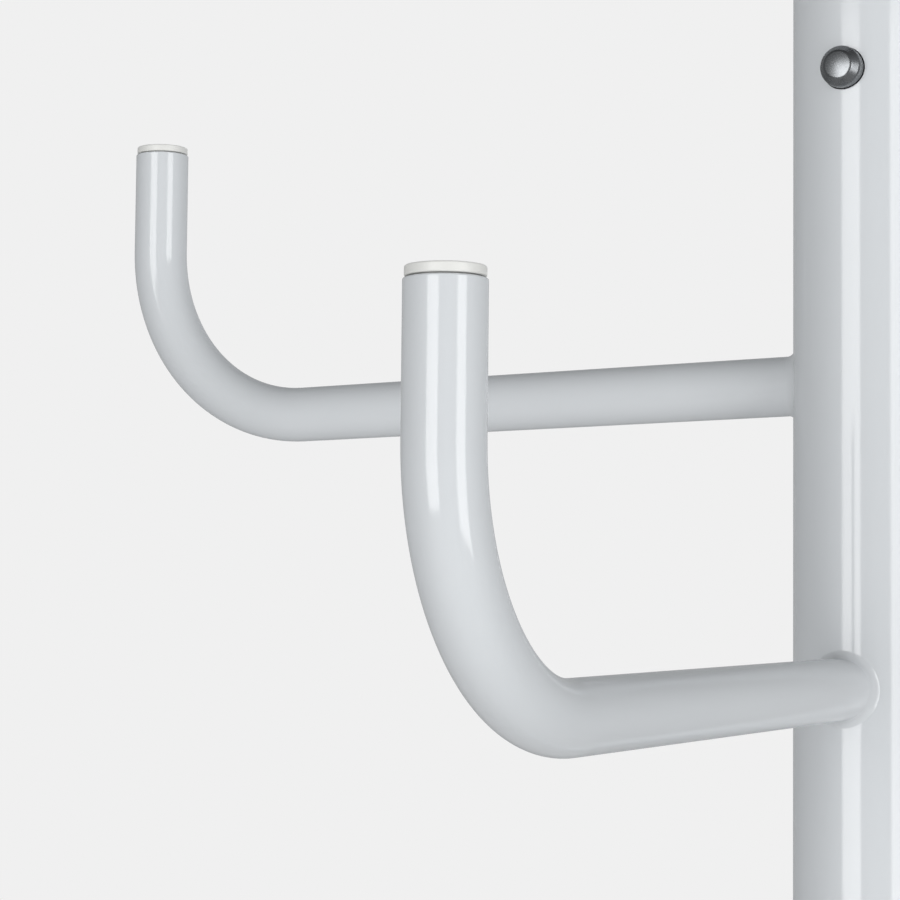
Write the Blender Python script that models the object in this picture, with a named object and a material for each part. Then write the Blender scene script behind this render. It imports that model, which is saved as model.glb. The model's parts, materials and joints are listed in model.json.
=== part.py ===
"""Standing coat rack: a sectional steel pole on four bent legs, with four opposed pairs of J hooks.

Metres, +Z up, origin on the floor under the pole's axis. A piece that points away from the pole is
modelled pointing along its own +X and is then turned about the pole's axis.
"""

import math

import bmesh
import bpy
from mathutils import Matrix, Vector

# Fits
PIECE_GAP = 0.0003           # between pieces that are welded, pressed or screwed together
SLEEVE_FIT = 0.0003          # radial play of a joint sleeve in the pole tubes
BUTTON_FIT = 0.0005          # radial play of a snap button in its hole
BOLT_FIT = 0.0003            # radial play of a bolt in its holes and its nut

# Pole
POLE_DIAMETER = 0.038
POLE_WALL = 0.0015
LOWER_LENGTH = 0.590
MIDDLE_LENGTH = 0.575
UPPER_LENGTH = 0.575
POLE_SIDES = 32

# Joint between two pole sections
SLEEVE_WALL = 0.0015
SLEEVE_HELD = 0.045          # length fixed in the section above
SLEEVE_REACH = 0.065         # length that enters the section below
BUTTON_DROP = 0.035          # button's axis below the seam
BUTTON_TURN = math.radians(2)  # button's place round the pole from the front hook
BUTTON_DIAMETER = 0.0108
BUTTON_PROUD = 0.0050        # dome above the pole's surface
BUTTON_SHOULDER = 0.0030     # straight side left under the dome, outside the pole's surface
BUTTON_FLANGE = 0.0012
BUTTON_FLANGE_RADIUS = 0.0068
TAIL_RADIUS = 0.0016
TAIL_HEAD_RADIUS = 0.0028
TAIL_HEAD = 0.0010
SPRING_WIDTH = 0.008
SPRING_THICKNESS = 0.0006
SPRING_BELOW = 0.007         # strip below the button's axis
SPRING_ABOVE = 0.018         # strip above it, up to the bow

# Hooks
HOOK_DIAMETER = 0.016
HOOK_WALL = 0.0012
HOOK_REACH = 0.228           # pole's axis to the upright's axis
HOOK_RISE = 0.079            # arm's axis at the pole to the tube's end
HOOK_BEND = 0.052            # bend radius on the tube's axis
HOOK_SLOPE = math.radians(-1)  # arm's slope, away from the pole
HOOK_FLARE = 0.0022          # weld fillet round the arm at the pole
HOOK_SIDES = 16
MIDDLE_HOOKS = 0.195         # front pair below the middle section's upper end
UPPER_HOOKS = 0.170          # front pair below the pole's upper end
PAIR_STEP = 0.080            # between a front pair and the side pair above it

# Legs
LEG_DIAMETER = 0.022
LEG_WALL = 0.0015
LEG_REACH = 0.265            # pole's axis to a foot's axis
LEG_HEIGHT = 0.100           # floor to the arm's axis
LEG_BEND = 0.060
LEG_SIDES = 16
POLE_BELOW_LEGS = 0.050      # legs' axis down to the pole's lower end
PLATE_SPACING = 0.0033       # between neighbouring plates, measured round the pole
PLATE_MARGIN = 0.012         # plate beyond its bolts' axes
PLATE_THICKNESS = 0.003
PLATE_CORNER = 0.007
PLATE_STRIPS = 8             # flat faces of a plate round the pole
BOLT_SPREAD = 0.025          # bolts above and below the leg's axis
BOLT_DIAMETER = 0.006
BOLT_HEAD_RADIUS = 0.00525
BOLT_HEAD = 0.0033
BOLT_SOCKET = 0.004          # across the hexagon's flats
BOLT_SOCKET_DEPTH = 0.0021
BOLT_PAST_NUT = 0.001
NUT_FLATS = 0.010
NUT_THICKNESS = 0.005

# Plastic plugs
PLUG_WALL = 0.0012
HOOK_PLUG_INSET = 0.0003    # plug's head inside the tube's outer edge
HOOK_PLUG_HEAD = 0.0020
HOOK_PLUG_STEM = 0.012
HOOK_PLUG_EDGE = 0.0004
FOOT_HEAD = 0.010
FOOT_STEM = 0.016
FOOT_EDGE = 0.0012
CAP_HEAD = 0.0050
CAP_STEM = 0.018
CAP_EDGE = 0.0025
BASE_CAP_HEAD = 0.003
BASE_CAP_STEM = 0.012
BASE_CAP_EDGE = 0.001
PLUG_FIT = 0.0003            # radial play of a plug's stem in its tube

# Worked out from the values above
POLE_RADIUS = POLE_DIAMETER / 2
POLE_BORE = POLE_RADIUS - POLE_WALL
SLEEVE_RADIUS = POLE_BORE - SLEEVE_FIT
SLEEVE_BORE = SLEEVE_RADIUS - SLEEVE_WALL
POLE_START = LEG_HEIGHT - POLE_BELOW_LEGS
LOWER_SEAM = POLE_START + LOWER_LENGTH
MIDDLE_START = LOWER_SEAM + PIECE_GAP
UPPER_SEAM = MIDDLE_START + MIDDLE_LENGTH
UPPER_START = UPPER_SEAM + PIECE_GAP
POLE_END = UPPER_START + UPPER_LENGTH
FRONT = -math.pi / 2


def to_flats(radius, sides):
    """Distance from a faceted round's axis to the middle of its flats."""
    return radius * math.cos(math.pi / sides)


BUTTON_RADIUS = BUTTON_DIAMETER / 2
FLANGE_FACE = math.sqrt(to_flats(SLEEVE_BORE, POLE_SIDES) ** 2 - BUTTON_FLANGE_RADIUS ** 2) - PIECE_GAP
FLANGE_BACK = FLANGE_FACE - BUTTON_FLANGE
SPRING_FRONT = FLANGE_BACK - PIECE_GAP
SPRING_BACK = math.sqrt(to_flats(SLEEVE_BORE, POLE_SIDES) ** 2 - (SPRING_WIDTH / 2) ** 2) - PIECE_GAP
PLATE_FACE = POLE_RADIUS + PIECE_GAP
PLATE_OUTSIDE = PLATE_FACE + PLATE_THICKNESS
PLATE_WIDTH = PLATE_FACE * math.tau / 4 - PLATE_SPACING
PLATE_HEIGHT = 2 * (BOLT_SPREAD + PLATE_MARGIN)
BOLT_RADIUS = BOLT_DIAMETER / 2
BOLT_HOLE_RADIUS = BOLT_RADIUS + BOLT_FIT
BOLT_SEAT = PLATE_OUTSIDE + PIECE_GAP
NUT_CORNER = NUT_FLATS / math.sqrt(3)
NUT_FACE = math.sqrt(to_flats(POLE_BORE, POLE_SIDES) ** 2 - NUT_CORNER ** 2) - PIECE_GAP
NUT_BACK = NUT_FACE - NUT_THICKNESS
QUARTERS = [math.radians(90 * step) for step in range(4)]
DIRECTIONS = ("right", "back", "left", "front")


# Materials

def surface(name, colour, roughness, metallic):
    material = bpy.data.materials.new(name)
    material.use_nodes = True
    shader = material.node_tree.nodes["Principled BSDF"]
    shader.inputs["Base Color"].default_value = (*colour, 1)
    shader.inputs["Roughness"].default_value = roughness
    shader.inputs["Metallic"].default_value = metallic
    material.diffuse_color = (*colour, 1)
    return material


def powder_coat():
    return surface("powder_coated_steel", (0.66, 0.69, 0.72), 0.28, 0.0)


def zinc_steel():
    return surface("zinc_plated_steel", (0.62, 0.63, 0.65), 0.35, 1.0)


def chrome():
    return surface("chrome_plate", (0.55, 0.56, 0.57), 0.08, 1.0)


def spring_steel():
    return surface("spring_steel", (0.32, 0.33, 0.35), 0.4, 1.0)


def white_plastic():
    return surface("warm_white_plastic", (0.86, 0.86, 0.83), 0.4, 0.0)


def grey_plastic():
    return surface("grey_plastic", (0.42, 0.44, 0.46), 0.5, 0.0)


# Mesh tools

def finish_mesh(name, bm, closed=True):
    """Turn a bmesh into a mesh that is shaded smooth up to 35 degrees."""
    bmesh.ops.remove_doubles(bm, verts=bm.verts, dist=1e-6)
    if closed:
        bmesh.ops.recalc_face_normals(bm, faces=bm.faces)
    mesh = bpy.data.meshes.new(name)
    bm.to_mesh(mesh)
    bm.free()
    mesh.shade_smooth()
    mesh.set_sharp_from_angle(angle=math.radians(35))
    return mesh


def place(name, mesh, material, height=0.0, turn=0.0, parent=None):
    """Add an object on the pole's axis at a height, turned about that axis."""
    thing = bpy.data.objects.new(name, mesh)
    bpy.context.scene.collection.objects.link(thing)
    if not mesh.materials:
        mesh.materials.append(material)
    thing.location = (0, 0, height)
    thing.rotation_euler = (0, 0, turn)
    thing.parent = parent
    return thing


def turned(name, profile, sides, ring=False, sideways=False):
    """Spin (radius, height) points about Z. A ring closes its profile; sideways lays the axis on +X."""
    bm = bmesh.new()
    points = [bm.verts.new((radius, 0, height)) for radius, height in profile]
    pairs = list(zip(points, points[1:]))
    if ring:
        pairs.append((points[-1], points[0]))
    edges = [bm.edges.new(pair) for pair in pairs]
    bmesh.ops.spin(bm, geom=points + edges, cent=(0, 0, 0), axis=(0, 0, 1), angle=math.tau,
                   steps=sides, use_merge=True)
    if sideways:
        bmesh.ops.rotate(bm, verts=bm.verts, cent=(0, 0, 0), matrix=Matrix.Rotation(math.pi / 2, 3, "Y"))
    return finish_mesh(name, bm)


def round_edge(centre_radius, centre_height, size, start, end, steps):
    """Points of a rounded edge, from one angle to another above the horizontal."""
    angles = [start + (end - start) * step / steps for step in range(steps + 1)]
    return [(centre_radius + size * math.cos(angle), centre_height + size * math.sin(angle))
            for angle in angles]


def extrude_ring(bm, ring, offset):
    """Extrude a loop of edges by an offset and return the new loop."""
    made = bmesh.ops.extrude_edge_only(bm, edges=ring)["geom"]
    verts = [item for item in made if isinstance(item, bmesh.types.BMVert)]
    bmesh.ops.translate(bm, verts=verts, vec=offset)
    return [item for item in made if isinstance(item, bmesh.types.BMEdge)]


def scale_ring(bm, ring, centre, factor):
    verts = list({vert for edge in ring for vert in edge.verts})
    bmesh.ops.scale(bm, verts=verts, vec=(factor,) * 3, space=Matrix.Translation(-Vector(centre)))


def cutter(name, mesh, height=0.0, turn=0.0):
    thing = bpy.data.objects.new(name, mesh)
    bpy.context.scene.collection.objects.link(thing)
    thing.location = (0, 0, height)
    thing.rotation_euler = (0, 0, turn)
    thing.hide_render = True
    thing.display_type = "WIRE"
    return thing


def cut(thing, tool):
    modifier = thing.modifiers.new("cut_" + tool.name, "BOOLEAN")
    modifier.operation = "DIFFERENCE"
    modifier.solver = "EXACT"
    modifier.object = tool


def thicken(thing, wall, offset):
    modifier = thing.modifiers.new("wall", "SOLIDIFY")
    modifier.thickness = wall
    modifier.offset = offset
    modifier.use_even_offset = True


def radial_pins(name, radius, start, end, sides, places):
    """Pins that point away from the pole's axis, one for each (turn, height)."""
    bm = bmesh.new()
    for turn, height in places:
        lay = Matrix.Rotation(turn, 4, "Z") @ Matrix.Translation(((start + end) / 2, 0, height))
        bmesh.ops.create_cone(bm, cap_ends=True, segments=sides, radius1=radius, radius2=radius,
                              depth=end - start, matrix=lay @ Matrix.Rotation(math.pi / 2, 4, "Y"))
    return finish_mesh(name, bm)


# Pole

def pole_tube(name, start, length, material):
    profile = [(POLE_RADIUS, length), (POLE_RADIUS, 0), (POLE_BORE, 0), (POLE_BORE, length)]
    return place(name, turned(name, profile, POLE_SIDES, ring=True), material, start)


def joint_sleeve(name, seam, material):
    profile = [(SLEEVE_RADIUS, SLEEVE_HELD), (SLEEVE_RADIUS, -SLEEVE_REACH),
               (SLEEVE_BORE, -SLEEVE_REACH), (SLEEVE_BORE, SLEEVE_HELD)]
    return place(name, turned(name, profile, POLE_SIDES, ring=True), material, seam)


def button_hole(name, height):
    pin = radial_pins(name, BUTTON_RADIUS + BUTTON_FIT, FLANGE_BACK, POLE_RADIUS + BUTTON_PROUD, 24,
                      [(0, 0)])
    return cutter(name, pin, height, FRONT + BUTTON_TURN)


def button_mesh():
    """Dome, shank, flange inside the sleeve, and a tail riveted behind the spring strip."""
    dome_base = POLE_RADIUS + BUTTON_SHOULDER
    dome_height = BUTTON_PROUD - BUTTON_SHOULDER
    dome = [(BUTTON_RADIUS * math.cos(math.radians(angle)),
             dome_base + dome_height * math.sin(math.radians(angle))) for angle in (90, 66, 44, 22, 0)]
    dome[0] = (0, POLE_RADIUS + BUTTON_PROUD)
    strip_back = SPRING_FRONT - SPRING_THICKNESS - PIECE_GAP
    body = [(BUTTON_RADIUS, FLANGE_FACE), (BUTTON_FLANGE_RADIUS, FLANGE_FACE),
            (BUTTON_FLANGE_RADIUS, FLANGE_BACK), (TAIL_RADIUS, FLANGE_BACK),
            (TAIL_RADIUS, strip_back), (TAIL_HEAD_RADIUS, strip_back),
            (TAIL_HEAD_RADIUS * 0.7, strip_back - TAIL_HEAD), (0, strip_back - TAIL_HEAD)]
    return turned("snap_button", dome + body, 16, sideways=True)


def spring_mesh():
    """A strip bent to a U: one leg behind the button, the other against the sleeve."""
    bm = bmesh.new()
    ends = [bm.verts.new((SPRING_FRONT, side * SPRING_WIDTH / 2, -SPRING_BELOW)) for side in (-1, 1)]
    edge = [bm.edges.new(ends)]
    edge = extrude_ring(bm, edge, (0, 0, SPRING_BELOW + SPRING_ABOVE))
    verts = list(edge[0].verts)
    middle = (SPRING_FRONT - SPRING_BACK) / 2
    bow = bmesh.ops.spin(bm, geom=verts + edge, cent=(middle, 0, SPRING_ABOVE), axis=(0, -1, 0),
                         angle=math.pi, steps=10, use_duplicate=False)["geom_last"]
    edge = [item for item in bow if isinstance(item, bmesh.types.BMEdge)]
    extrude_ring(bm, edge, (0, 0, -SPRING_BELOW - SPRING_ABOVE))
    return finish_mesh("button_spring", bm, closed=False)


def button_spring(name, mesh, height, material):
    spring = place(name, mesh, material, height, FRONT + BUTTON_TURN)
    thicken(spring, SPRING_THICKNESS, 1)
    rivet = radial_pins(name + "_rivet_hole", TAIL_RADIUS + PIECE_GAP, 0, FLANGE_FACE, 12, [(0, 0)])
    cut(spring, cutter(name + "_rivet_hole", rivet, height, FRONT + BUTTON_TURN))


def pole_joint(which, seam, tube_below, materials, button, strip):
    """Sleeve, snap button and spring where one pole section plugs into the next."""
    height = seam - BUTTON_DROP
    hole = button_hole(which + "_button_hole", height)
    sleeve = joint_sleeve(which + "_joint_sleeve", seam, materials["zinc"])
    cut(sleeve, hole)
    cut(tube_below, hole)
    button_spring(which + "_button_spring", strip, height, materials["spring"])
    slide = bpy.data.objects.new(which + "_button_slide", None)
    bpy.context.scene.collection.objects.link(slide)
    slide.location = (0, 0, height)
    slide.rotation_euler = (0, 0, FRONT + BUTTON_TURN)
    place(which + "_snap_button", button, materials["chrome"], parent=slide)


# Bent tubes

def bent_tube(radius, sides, run, bend_radius, slope, tail, flare=0.0):
    """A tube's outer skin: a straight run along +X from inside the pole, a bend to +Z, a tail."""
    bm = bmesh.new()
    begin = POLE_RADIUS / 2
    heading = Vector((math.cos(slope), 0, math.sin(slope)))
    lay = Matrix.Rotation(-slope, 4, "Y") @ Matrix.Translation((begin, 0, 0))
    lay = lay @ Matrix.Rotation(math.pi / 2, 4, "Y") @ Matrix.Rotation(math.pi / sides, 4, "Z")
    bmesh.ops.create_circle(bm, segments=sides, radius=radius, matrix=lay)
    ring = list(bm.edges)
    reached = begin
    if flare:
        scale_ring(bm, ring, heading * begin, (radius + flare) / radius)
        wide = radius + flare
        for step in range(4):
            turn = math.pi / 2 * step / 3
            along = POLE_RADIUS + flare * math.sin(turn)
            narrow = radius + flare * (1 - math.sin(turn)) if step < 3 else radius
            ring = extrude_ring(bm, ring, heading * (along - reached))
            scale_ring(bm, ring, heading * along, narrow / wide)
            wide = narrow
            reached = along
    ring = extrude_ring(bm, ring, heading * (run - reached))
    corner = heading * run
    centre = corner + Vector((-math.sin(slope), 0, math.cos(slope))) * bend_radius
    verts = list({vert for edge in ring for vert in edge.verts})
    bow = bmesh.ops.spin(bm, geom=verts + ring, cent=centre, axis=(0, -1, 0),
                         angle=math.pi / 2 - slope, steps=8, use_duplicate=False)["geom_last"]
    ring = [item for item in bow if isinstance(item, bmesh.types.BMEdge)]
    extrude_ring(bm, ring, (0, 0, tail))
    bmesh.ops.recalc_face_normals(bm, faces=bm.faces)
    return bm


def straight_run(reach, bend_radius, slope):
    """Length of the arm, from the pole's axis to the start of the bend."""
    return (reach - bend_radius * (1 - math.sin(slope))) / math.cos(slope)


def straight_tail(rise, run, bend_radius, slope):
    """Length left after the bend, so that the tube ends at its rise."""
    return rise - run * math.sin(slope) - bend_radius * math.cos(slope)


def hook_mesh():
    radius = HOOK_DIAMETER / 2
    run = straight_run(HOOK_REACH, HOOK_BEND, HOOK_SLOPE)
    tail = straight_tail(HOOK_RISE, run, HOOK_BEND, HOOK_SLOPE)
    bm = bent_tube(radius, HOOK_SIDES, run, HOOK_BEND, HOOK_SLOPE, tail, HOOK_FLARE)
    return finish_mesh("hook", bm, closed=False)


def leg_mesh():
    """The same bend as a hook, turned over so that it reaches down to the floor."""
    radius = LEG_DIAMETER / 2
    run = straight_run(LEG_REACH, LEG_BEND, 0)
    tail = straight_tail(LEG_HEIGHT - FOOT_HEAD - PIECE_GAP, run, LEG_BEND, 0)
    bm = bent_tube(radius, LEG_SIDES, run, LEG_BEND, 0, tail)
    bmesh.ops.rotate(bm, verts=bm.verts, cent=(0, 0, 0), matrix=Matrix.Rotation(math.pi, 3, "X"))
    return finish_mesh("leg", bm, closed=False)


def plug_mesh(name, head_radius, head, edge, stem_radius, stem, sides, dome=0.0):
    """A plug whose head stands on z = 0 and whose open stem goes down into a tube."""
    top = head + dome
    rim = round_edge(head_radius - edge, head - edge, edge, math.pi / 2, 0, 2)
    crown = [(0, top)]
    if dome:
        crown.append((head_radius * 0.55, head + dome * 0.7))
    body = [(head_radius, 0), (stem_radius, 0), (stem_radius, -stem),
            (stem_radius - PLUG_WALL, -stem), (stem_radius - PLUG_WALL, 0), (0, 0)]
    return turned(name, crown + rim + body, sides)


def plug(name, mesh, material, position, flip=False):
    thing = place(name, mesh, material)
    thing.location = position
    thing.rotation_euler = (math.pi if flip else 0, 0, 0)


# Sub-assemblies

def hook_pair(level, height, turns, meshes, materials, pole):
    for turn in turns:
        side = DIRECTIONS[round(turn / (math.pi / 2)) % 4]
        hook = place(f"{level}_{side}_hook", meshes["hook"], materials["coat"], height, turn)
        thicken(hook, HOOK_WALL, -1)
        cut(hook, pole)
        end = (HOOK_REACH * math.cos(turn), HOOK_REACH * math.sin(turn), height + HOOK_RISE + PIECE_GAP)
        plug(f"{level}_{side}_hook_plug", meshes["hook_plug"], materials["white"], end)


def plate_mesh():
    """A rounded rectangle wrapped round the pole, facing +X."""
    bm = bmesh.new()
    bmesh.ops.create_grid(bm, x_segments=1, y_segments=1, size=0.5)
    bmesh.ops.scale(bm, verts=bm.verts, vec=(PLATE_WIDTH, PLATE_HEIGHT, 1))
    bmesh.ops.bevel(bm, geom=list(bm.verts), offset=PLATE_CORNER, offset_type="OFFSET",
                    affect="VERTICES", segments=3, profile=0.5)
    for step in range(1, PLATE_STRIPS):
        across = PLATE_WIDTH * (step / PLATE_STRIPS - 0.5)
        bmesh.ops.bisect_plane(bm, geom=bm.verts[:] + bm.edges[:] + bm.faces[:], dist=1e-6,
                               plane_co=(across, 0, 0), plane_no=(1, 0, 0))
    for vert in bm.verts:
        around = vert.co.x / PLATE_FACE
        vert.co = (PLATE_FACE * math.cos(around), PLATE_FACE * math.sin(around), vert.co.y)
    return finish_mesh("leg_plate", bm, closed=False)


def bolt_mesh():
    """Button-head bolt, its head outside the plate and its tip past the nut."""
    crown = BOLT_SEAT + BOLT_HEAD
    tip = NUT_BACK - BOLT_PAST_NUT
    profile = [(0, crown), (BOLT_HEAD_RADIUS * 0.55, crown - BOLT_HEAD * 0.08),
               (BOLT_HEAD_RADIUS * 0.85, crown - BOLT_HEAD * 0.38),
               (BOLT_HEAD_RADIUS, crown - BOLT_HEAD * 0.8), (BOLT_HEAD_RADIUS, BOLT_SEAT),
               (BOLT_RADIUS, BOLT_SEAT), (BOLT_RADIUS, tip), (0, tip)]
    return turned("leg_bolt", profile, 12, sideways=True)


def bolt_places():
    return [(turn, LEG_HEIGHT + side * BOLT_SPREAD) for turn in QUARTERS for side in (-1, 1)]


def leg_assembly(turn, meshes, materials, tools):
    side = DIRECTIONS[round(turn / (math.pi / 2)) % 4]
    plate = place(f"{side}_leg_plate", meshes["plate"], materials["coat"], LEG_HEIGHT, turn)
    thicken(plate, PLATE_THICKNESS, 1)
    cut(plate, tools["bolt_holes"])
    leg = place(f"{side}_leg", meshes["leg"], materials["coat"], LEG_HEIGHT, turn)
    thicken(leg, LEG_WALL, -1)
    cut(leg, tools["plates"])
    foot = (LEG_REACH * math.cos(turn), LEG_REACH * math.sin(turn), FOOT_HEAD)
    plug(f"{side}_foot", meshes["foot"], materials["grey"], foot, flip=True)
    for place_name, offset in (("lower", -BOLT_SPREAD), ("upper", BOLT_SPREAD)):
        height = LEG_HEIGHT + offset
        bolt = place(f"{side}_leg_{place_name}_bolt", meshes["bolt"], materials["zinc"], height, turn)
        cut(bolt, tools["sockets"])
        nut = place(f"{side}_leg_{place_name}_nut", meshes["nut"], materials["zinc"], height, turn)
        cut(nut, tools["bolt_holes"])


def prism_about_pole(name, radius, bottom, top):
    profile = [(0, top), (radius, top), (radius, bottom), (0, bottom)]
    return cutter(name, turned(name, profile, POLE_SIDES))


def shared_tools():
    """Cutters that stand for the pole, the bolts and the hexagon sockets."""
    crown = BOLT_SEAT + BOLT_HEAD
    corner = BOLT_SOCKET / math.sqrt(3)
    holes = radial_pins("leg_bolt_holes", BOLT_HOLE_RADIUS, NUT_BACK - BOLT_PAST_NUT,
                        crown + BOLT_HEAD, 12, bolt_places())
    sockets = radial_pins("leg_bolt_sockets", corner, crown - BOLT_SOCKET_DEPTH, crown + BOLT_HEAD, 6,
                          bolt_places())
    return {
        "pole": prism_about_pole("pole_clearance", PLATE_FACE, 0, POLE_END),
        "plates": prism_about_pole("plate_clearance", PLATE_OUTSIDE + PIECE_GAP, 0, LEG_HEIGHT * 2),
        "bolt_holes": cutter("leg_bolt_holes", holes),
        "sockets": cutter("leg_bolt_sockets", sockets),
    }


def shared_meshes():
    hook_bore = to_flats(HOOK_DIAMETER / 2, HOOK_SIDES) - HOOK_WALL
    leg_bore = to_flats(LEG_DIAMETER / 2, LEG_SIDES) - LEG_WALL
    pole_bore = to_flats(POLE_BORE, POLE_SIDES)
    return {
        "hook": hook_mesh(),
        "leg": leg_mesh(),
        "plate": plate_mesh(),
        "bolt": bolt_mesh(),
        "nut": radial_pins("leg_nut", NUT_CORNER, NUT_BACK, NUT_FACE, 6, [(0, 0)]),
        "hook_plug": plug_mesh("hook_plug", HOOK_DIAMETER / 2 - HOOK_PLUG_INSET, HOOK_PLUG_HEAD,
                               HOOK_PLUG_EDGE, hook_bore - PLUG_FIT, HOOK_PLUG_STEM, 16),
        "foot": plug_mesh("foot", LEG_DIAMETER / 2, FOOT_HEAD, FOOT_EDGE, leg_bore - PLUG_FIT,
                          FOOT_STEM, 16),
        "cap": plug_mesh("pole_cap", POLE_RADIUS, CAP_HEAD, CAP_EDGE, pole_bore - PLUG_FIT, CAP_STEM,
                         24, dome=0.0012),
        "base_cap": plug_mesh("base_cap", POLE_RADIUS, BASE_CAP_HEAD, BASE_CAP_EDGE,
                              pole_bore - PLUG_FIT, BASE_CAP_STEM, 24),
    }


def build():
    for thing in list(bpy.data.objects):
        bpy.data.objects.remove(thing, do_unlink=True)
    materials = {
        "coat": powder_coat(),
        "zinc": zinc_steel(),
        "chrome": chrome(),
        "spring": spring_steel(),
        "white": white_plastic(),
        "grey": grey_plastic(),
    }
    tools = shared_tools()
    meshes = shared_meshes()

    lower = pole_tube("lower_pole_tube", POLE_START, LOWER_LENGTH, materials["coat"])
    middle = pole_tube("middle_pole_tube", MIDDLE_START, MIDDLE_LENGTH, materials["coat"])
    pole_tube("upper_pole_tube", UPPER_START, UPPER_LENGTH, materials["coat"])
    cut(lower, tools["bolt_holes"])
    button = button_mesh()
    strip = spring_mesh()
    pole_joint("lower", LOWER_SEAM, lower, materials, button, strip)
    pole_joint("upper", UPPER_SEAM, middle, materials, button, strip)
    plug("pole_top_cap", meshes["cap"], materials["white"], (0, 0, POLE_END + PIECE_GAP))
    plug("pole_bottom_cap", meshes["base_cap"], materials["grey"], (0, 0, POLE_START - PIECE_GAP),
         flip=True)

    fore_and_aft = (QUARTERS[3], QUARTERS[1])
    side_to_side = (QUARTERS[2], QUARTERS[0])
    for section, start in (("middle", UPPER_SEAM - MIDDLE_HOOKS), ("upper", POLE_END - UPPER_HOOKS)):
        hook_pair(section, start, fore_and_aft, meshes, materials, tools["pole"])
        hook_pair(section, start + PAIR_STEP, side_to_side, meshes, materials, tools["pole"])
    for turn in QUARTERS:
        leg_assembly(turn, meshes, materials, tools)


build()
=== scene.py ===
import json
import math

import bmesh
import bpy
from mathutils import Matrix, Vector


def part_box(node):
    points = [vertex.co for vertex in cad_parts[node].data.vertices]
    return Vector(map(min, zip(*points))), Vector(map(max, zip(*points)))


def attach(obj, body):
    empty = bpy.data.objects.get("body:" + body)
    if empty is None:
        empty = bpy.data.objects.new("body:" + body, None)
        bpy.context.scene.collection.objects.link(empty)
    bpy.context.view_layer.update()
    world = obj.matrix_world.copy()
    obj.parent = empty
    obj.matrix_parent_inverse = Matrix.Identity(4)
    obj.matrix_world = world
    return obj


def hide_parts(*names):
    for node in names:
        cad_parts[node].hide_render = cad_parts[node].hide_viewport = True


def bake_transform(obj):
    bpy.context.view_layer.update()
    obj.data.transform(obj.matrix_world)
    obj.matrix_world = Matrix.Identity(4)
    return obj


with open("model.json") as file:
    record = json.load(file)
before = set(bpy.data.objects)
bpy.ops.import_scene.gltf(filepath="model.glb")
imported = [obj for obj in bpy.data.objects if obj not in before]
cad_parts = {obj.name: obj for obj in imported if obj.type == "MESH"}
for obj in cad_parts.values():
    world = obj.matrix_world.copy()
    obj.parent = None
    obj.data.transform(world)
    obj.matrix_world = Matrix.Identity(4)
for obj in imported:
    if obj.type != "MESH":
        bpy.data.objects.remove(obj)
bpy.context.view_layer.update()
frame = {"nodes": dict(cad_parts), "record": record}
bodyOf = {node: body for body, nodes in frame["record"]["behaviour"]["bodies"].items() for node in nodes}
slotOf = {part["node"]: part["material_slot"] for part in frame["record"]["subparts"]}
sides = {"right": 0, "back": 90, "left": 180, "front": 270}  # degrees round the pole from +X
print("frame loaded:", len(frame["nodes"]), "nodes")


# small tools

def clearSelection():
    if bpy.context.object and bpy.context.object.mode != "OBJECT":
        bpy.ops.object.mode_set(mode="OBJECT")
    bpy.ops.object.select_all(action="DESELECT")


def work(piece):
    clearSelection()
    piece.select_set(True)
    bpy.context.view_layer.objects.active = piece


def edit(piece):
    work(piece)
    bpy.ops.object.mode_set(mode="EDIT")
    bpy.ops.mesh.select_mode(type="VERT")
    bpy.ops.mesh.select_all(action="DESELECT")


def pick(kind, test):  # selects the points, edges or faces that pass a test on their place
    bpy.ops.mesh.select_mode(type=kind)
    bpy.ops.mesh.select_all(action="DESELECT")
    mesh = bpy.context.object.data
    shape = bmesh.from_edit_mesh(mesh)
    for part in {"VERT": shape.verts, "EDGE": shape.edges, "FACE": shape.faces}[kind]:
        if test(part):
            part.select_set(True)
    bmesh.update_edit_mesh(mesh)


def push(offset):  # extrudes what is selected
    bpy.ops.mesh.extrude_region_move(TRANSFORM_OT_translate={"value": offset})


def bake(piece):  # the place goes into the mesh
    work(piece)
    bpy.ops.object.transform_apply(location=True, rotation=True, scale=True)
    return piece


def shape(piece, kind, **settings):  # a modifier, applied at once
    modifier = piece.modifiers.new(kind.lower(), kind)
    for key, value in settings.items():
        setattr(modifier, key, value)
    work(piece)
    bpy.ops.object.modifier_apply(modifier=modifier.name)
    return piece


def smooth(piece, degrees=35):
    work(piece)
    bpy.ops.object.shade_smooth_by_angle(angle=math.radians(degrees))
    return piece


def softEdges(piece, width, segments=3, degrees=35):
    smooth(piece, degrees)
    shape(piece, "BEVEL", width=width, segments=segments, limit_method="ANGLE",
          angle_limit=math.radians(degrees), use_clamp_overlap=True, miter_outer="MITER_ARC")
    smooth(piece, degrees)
    return shape(piece, "WEIGHTED_NORMAL", keep_sharp=True)  # flat and round faces keep their own shading


def closeUp(piece):  # joins seams and poles and turns the faces out
    edit(piece)
    bpy.ops.mesh.select_all(action="SELECT")
    bpy.ops.mesh.remove_doubles(threshold=1e-6)
    bpy.ops.mesh.normals_make_consistent(inside=False)
    bpy.ops.object.mode_set(mode="OBJECT")
    return piece


def pin(name, radius, start, end, height=0.0, turn=0.0, corners=64):  # a solid rod that points away from the pole
    clearSelection()
    middle = (start + end) / 2
    place = (middle * math.cos(turn), middle * math.sin(turn), height)
    bpy.ops.mesh.primitive_cylinder_add(vertices=corners, radius=radius, depth=end - start, location=place,
                                        rotation=(0, math.pi / 2, turn))
    rod = bpy.context.object
    rod.name = name
    return bake(rod)


def cutAway(piece, tools, operation="DIFFERENCE", solver="EXACT"):
    for tool in tools:
        shape(piece, "BOOLEAN", operation=operation, solver=solver, object=tool)
    for tool in tools:
        bpy.data.objects.remove(tool)
    return piece


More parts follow.
